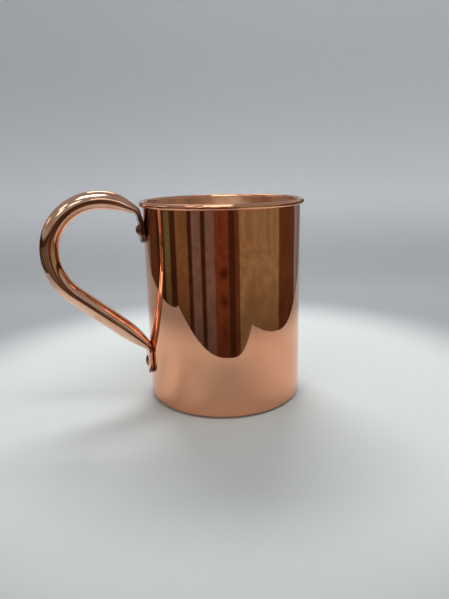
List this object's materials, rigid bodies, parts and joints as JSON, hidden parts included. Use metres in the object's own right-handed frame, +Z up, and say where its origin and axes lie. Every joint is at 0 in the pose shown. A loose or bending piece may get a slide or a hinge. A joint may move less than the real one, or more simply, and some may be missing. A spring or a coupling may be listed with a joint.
{
  "type": "copper mug",
  "caption": "Straight-sided copper mug with a rolled rim, a rounded base corner and a bent tube handle riveted to the wall above and below.",
  "frame": {"origin": "centre of the flat base, on the cup's axis, at the level of the surface that the mug stands on", "axes": "+Z up along the cup's axis; the handle lies in the XZ plane on the -X side"},
  "size_m": [0.1306, 0.083, 0.1076],
  "materials": {
    "cup_copper": "mirror-polished spun copper, bare inside and out",
    "handle_copper": "polished copper tube with faint draw lines",
    "rivet_copper": "polished copper rivet, slightly dulled round the head"
  },
  "bodies": {
    "root": {"cup": "cup_copper", "handle": "handle_copper", "upper_rivet": "rivet_copper", "lower_rivet": "rivet_copper"}
  },
  "joints": []
}
